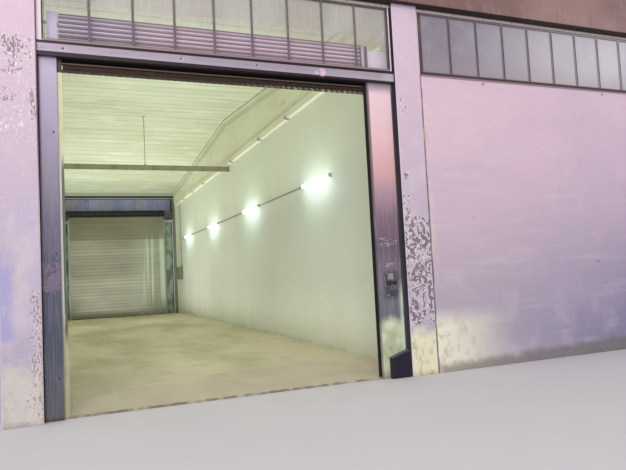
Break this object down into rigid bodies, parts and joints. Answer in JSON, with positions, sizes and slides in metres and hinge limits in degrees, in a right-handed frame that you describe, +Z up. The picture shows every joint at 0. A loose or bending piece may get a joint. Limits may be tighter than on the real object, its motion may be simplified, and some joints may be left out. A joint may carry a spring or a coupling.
{
  "type": "factory building",
  "caption": "Single-storey industrial hall with painted piers, a roller shutter bay open from front to rear, a window ribbon bay and a low double-pitched roof.",
  "frame": {"origin": "centre of the plan on the ground, at the bottom of the piers", "axes": "X along the facade, with the door bay on the -X side; +Y into the building from the front facade; +Z up"},
  "size_m": [11.3666, 22.38, 6.8953],
  "materials": {
    "peeling_paint": "pink to lilac masonry paint on concrete, peeling in grey-brown specks",
    "facade_render": "painted render, pink at the top and lilac lower down, dusty at the foot",
    "wall_render": "pale green-grey painted render",
    "worn_concrete": "worn smooth concrete with stains and hairline cracks",
    "beam_concrete": "painted precast concrete with bare brownish areas on the web",
    "ceiling_paint": "pale yellow-green painted concrete planks",
    "fascia_concrete": "dusty brown-pink painted concrete with rain streaks",
    "sill_concrete": "brown-grey concrete sill with dirt",
    "roof_felt": "mineral roofing felt in lapped strips",
    "galvanised_sheet": "weathered galvanised steel",
    "lilac_steel": "lilac-grey enamel on steel, rubbed and dirty",
    "green_steel": "dark green enamel on steel",
    "guard_steel": "dark purple-grey scuffed steel plate",
    "window_steel": "dark aged window steel",
    "white_steel": "off-white painted steel",
    "lilac_slats": "pink-lilac painted steel slats with dust lines",
    "galvanised_slats": "galvanised steel slats, dull",
    "ribbon_glazing": "milky patterned glass, dusty",
    "transom_glazing": "grey-green wired glass, dusty",
    "switch_metal": "brushed switch plate",
    "light_diffuser": "white diffuser with a lit tube behind it",
    "grey_conduit": "light grey plastic conduit",
    "panel_plastic": "off-white electric panel"
  },
  "bodies": {
    "root": {"floor_slab": "worn_concrete", "pier_front_left": "peeling_paint", "pier_front_middle": "peeling_paint", "pier_front_right": "peeling_paint", "pier_rear_left": "peeling_paint", "pier_rear_middle": "peeling_paint", "pier_rear_right": "peeling_paint", "roof_beam_left": "beam_concrete", "roof_beam_middle": "beam_concrete", "roof_beam_right": "beam_concrete", "roof_deck_front": "ceiling_paint", "roof_deck_rear": "ceiling_paint", "roof_covering_front": "roof_felt", "roof_covering_rear": "roof_felt", "ridge_cap": "galvanised_sheet", "verge_trim": "galvanised_sheet", "eaves_beam_front": "fascia_concrete", "eaves_beam_rear": "fascia_concrete", "left_end_wall": "wall_render", "party_wall": "wall_render", "right_end_wall": "wall_render", "front_wall": "facade_render", "window_sill": "sill_concrete", "ribbon_frame": "window_steel", "ribbon_glass": "ribbon_glazing", "transom_frame_front": "lilac_steel", "transom_glass_front": "transom_glazing", "transom_frame_rear": "lilac_steel", "transom_glass_rear": "transom_glazing", "head_strips": "galvanised_sheet", "door_header_front": "lilac_steel", "door_header_rear": "lilac_steel", "left_jamb_front": "lilac_steel", "right_jamb_front": "lilac_steel", "jambs_rear": "green_steel", "guides_front": "galvanised_sheet", "guides_rear": "galvanised_sheet", "shutter_front": "lilac_slats", "shutters_rear": "galvanised_slats", "bearings_front": "white_steel", "bearings_rear": "white_steel", "wheel_guard": "guard_steel", "key_switch": "switch_metal", "wall_lights": "light_diffuser", "light_conduit": "grey_conduit", "electric_panel": "panel_plastic", "cross_beam": "galvanised_sheet", "hanger_rod": "galvanised_sheet"}
  },
  "joints": []
}
